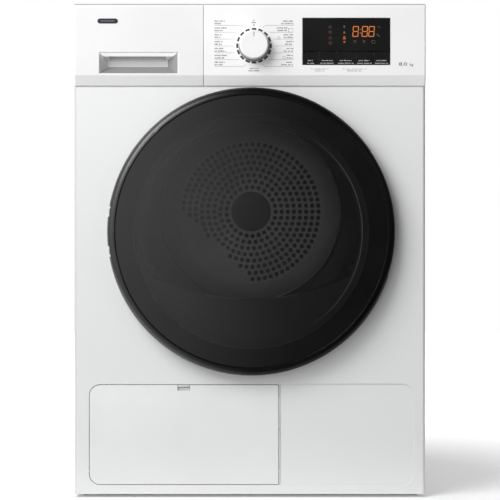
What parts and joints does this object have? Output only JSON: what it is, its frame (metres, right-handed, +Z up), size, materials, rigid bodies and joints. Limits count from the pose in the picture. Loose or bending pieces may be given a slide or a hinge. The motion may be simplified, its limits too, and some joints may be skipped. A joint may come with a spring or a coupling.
{
  "type": "clothes dryer",
  "caption": "Free-standing condenser clothes dryer with a round tinted front door, a control row with water tank drawer, knob and display, and a service flap.",
  "frame": {"origin": "floor level, in the middle of the footprint", "axes": "+Z up, +X to the viewer's right, the door faces -Y"},
  "size_m": [0.6, 0.64, 0.845],
  "materials": {
    "white_sheet": "satin stoved white enamel",
    "white_moulding": "smooth white moulding",
    "worktop_white": "fine-textured white laminate",
    "door_black": "gloss black",
    "lens_tint": "smoked clear plastic",
    "clear_window": "clear",
    "window_black": "smoked gloss",
    "key_black": "gloss black",
    "grey_moulding": "fine-grained dark grey",
    "light_moulding": "fine-grained light grey",
    "knob_white": "satin white",
    "galvanised": "galvanised sheet",
    "steel": "brushed",
    "drum_steel": "zinc-coated sheet",
    "aluminium_fins": "mill finish",
    "rubber_black": "matte",
    "gasket_grey": "matte",
    "felt": "wool felt",
    "tank_clear": "translucent natural",
    "motor_can": "dark enamel",
    "heater_metal": "bright tube"
  },
  "bodies": {
    "cabinet": {"base_tray": "grey_moulding", "left_side_panel": "white_sheet", "right_side_panel": "white_sheet", "front_panel": "white_sheet", "rear_panel": "galvanised", "rear_duct_cover": "galvanised", "top_panel": "worktop_white", "cord_inlet": "rubber_black", "panel_screws": "steel", "control_panel": "white_moulding", "display_window": "window_black", "tank_housing": "light_moulding", "hinge_bracket": "steel", "door_catch": "grey_moulding", "drum_seals": "felt", "front_bulkhead": "grey_moulding", "rear_bulkhead": "galvanised", "condenser": "aluminium_fins", "water_pump": "light_moulding", "motor_housing": "motor_can", "fan_housing": "grey_moulding", "heater": "heater_metal", "drive_belt": "rubber_black", "moisture_sensors": "steel"},
    "door": {"door_ring": "door_black", "door_lens": "lens_tint", "door_frame": "grey_moulding", "door_bowl": "clear_window", "door_gasket": "gasket_grey", "door_hook": "steel", "door_hinge": "steel"},
    "drum": {"drum_shell": "drum_steel", "drum_rear_wall": "drum_steel", "drum_air_grille": "drum_steel", "drum_hub_cap": "grey_moulding", "drum_lifters": "grey_moulding", "drum_shaft": "steel"},
    "tank": {"water_tank": "tank_clear", "tank_front": "white_moulding"},
    "knob": {"programme_knob": "knob_white"},
    "flap": {"service_flap": "white_moulding"},
    "latch": {"flap_latch": "white_moulding"},
    "filter": {"lint_filter": "grey_moulding"},
    "motor_rotor": {"motor_shaft": "steel", "process_fan": "light_moulding"},
    "tensioner": {"idler_arm": "steel"},
    "tensioner_pulley": {"idler_pulley": "light_moulding"},
    "roller_left": {"left_roller": "rubber_black"},
    "roller_right": {"right_roller": "rubber_black"},
    "condenser_lever_left": {"left_lever": "light_moulding"},
    "condenser_lever_right": {"right_lever": "light_moulding"},
    "button_1": {"key_1": "key_black"},
    "button_2": {"key_2": "key_black"},
    "button_3": {"key_3": "key_black"},
    "button_4": {"key_4": "key_black"},
    "button_5": {"key_5": "key_black"},
    "front_left_foot_body": {"front_left_foot": "rubber_black"},
    "front_right_foot_body": {"front_right_foot": "rubber_black"},
    "rear_left_foot_body": {"rear_left_foot": "rubber_black"},
    "rear_right_foot_body": {"rear_right_foot": "rubber_black"}
  },
  "joints": [
    {"name": "door_swing", "type": "hinge", "parent": "cabinet", "child": "door", "pos_m": [-0.233, -0.301, 0.454], "axis": [0, 0, -1], "range_deg": [0, 140]},
    {"name": "tank_slide", "type": "slide", "parent": "cabinet", "child": "tank", "axis": [0, -1, 0], "range_m": [0, 0.42]},
    {"name": "knob_turn", "type": "hinge", "parent": "cabinet", "child": "knob", "pos_m": [0.0072, -0.29, 0.7709], "axis": [0, -1, 0], "continuous": true},
    {"name": "flap_swing", "type": "hinge", "parent": "cabinet", "child": "flap", "pos_m": [-0.1125, -0.2772, 0.044], "axis": [1, 0, 0], "range_deg": [0, 85]},
    {"name": "latch_slide", "type": "slide", "parent": "flap", "child": "latch", "axis": [0, 0, -1], "range_m": [0, 0.004], "stiffness_N_per_m": 400, "springref_m": -0.002},
    {"name": "filter_lift", "type": "slide", "parent": "cabinet", "child": "filter", "axis": [0, 0, 1], "range_m": [0, 0.175]},
    {"name": "drum_spin", "type": "hinge", "parent": "cabinet", "child": "drum", "pos_m": [0.0025, 0, 0.5], "axis": [0, -1, 0], "continuous": true},
    {"name": "motor_spin", "type": "hinge", "parent": "cabinet", "child": "motor_rotor", "pos_m": [0.195, 0, 0.105], "axis": [0, -1, 0], "continuous": true},
    {"name": "tensioner_swing", "type": "hinge", "parent": "cabinet", "child": "tensioner", "pos_m": [0.029, -0.109, 0.195], "axis": [0, -1, 0], "range_deg": [0, 10], "stiffness_Nm_per_rad": 4, "springref_deg": -20.05},
    {"name": "tensioner_pulley_spin", "type": "hinge", "parent": "tensioner", "child": "tensioner_pulley", "pos_m": [0.11, -0.12, 0.155], "axis": [0, -1, 0], "continuous": true},
    {"name": "roller_left_spin", "type": "hinge", "parent": "cabinet", "child": "roller_left", "pos_m": [-0.17835, -0.212, 0.24172], "axis": [0, -1, 0], "continuous": true},
    {"name": "roller_right_spin", "type": "hinge", "parent": "cabinet", "child": "roller_right", "pos_m": [0.18335, -0.212, 0.24172], "axis": [0, -1, 0], "continuous": true},
    {"name": "lever_left_turn", "type": "hinge", "parent": "cabinet", "child": "condenser_lever_left", "pos_m": [-0.211, -0.2645, 0.1], "axis": [0, -1, 0], "range_deg": [0, 90]},
    {"name": "lever_right_turn", "type": "hinge", "parent": "cabinet", "child": "condenser_lever_right", "pos_m": [-0.009, -0.2645, 0.1], "axis": [0, 1, 0], "range_deg": [0, 90]},
    {"name": "key_1_press", "type": "slide", "parent": "cabinet", "child": "button_1", "axis": [0, 1, 0], "range_m": [0, 0.001], "stiffness_N_per_m": 900, "springref_m": -0.0006},
    {"name": "key_2_press", "type": "slide", "parent": "cabinet", "child": "button_2", "axis": [0, 1, 0], "range_m": [0, 0.001], "stiffness_N_per_m": 900, "springref_m": -0.0006},
    {"name": "key_3_press", "type": "slide", "parent": "cabinet", "child": "button_3", "axis": [0, 1, 0], "range_m": [0, 0.001], "stiffness_N_per_m": 900, "springref_m": -0.0006},
    {"name": "key_4_press", "type": "slide", "parent": "cabinet", "child": "button_4", "axis": [0, 1, 0], "range_m": [0, 0.001], "stiffness_N_per_m": 900, "springref_m": -0.0006},
    {"name": "key_5_press", "type": "slide", "parent": "cabinet", "child": "button_5", "axis": [0, 1, 0], "range_m": [0, 0.001], "stiffness_N_per_m": 900, "springref_m": -0.0006},
    {"name": "front_left_foot_height", "type": "slide", "parent": "cabinet", "child": "front_left_foot_body", "axis": [0, 0, -1], "range_m": [0, 0.015]},
    {"name": "front_right_foot_height", "type": "slide", "parent": "cabinet", "child": "front_right_foot_body", "axis": [0, 0, -1], "range_m": [0, 0.015]},
    {"name": "rear_left_foot_height", "type": "slide", "parent": "cabinet", "child": "rear_left_foot_body", "axis": [0, 0, -1], "range_m": [0, 0.015]},
    {"name": "rear_right_foot_height", "type": "slide", "parent": "cabinet", "child": "rear_right_foot_body", "axis": [0, 0, -1], "range_m": [0, 0.015]}
  ],
  "couplings": [
    {"joint": "motor_spin", "follows": "drum_spin", "ratio": 50.2},
    {"joint": "tensioner_pulley_spin", "follows": "drum_spin", "ratio": 14.65},
    {"joint": "roller_left_spin", "follows": "drum_spin", "ratio": -8},
    {"joint": "roller_right_spin", "follows": "drum_spin", "ratio": -8}
  ]
}
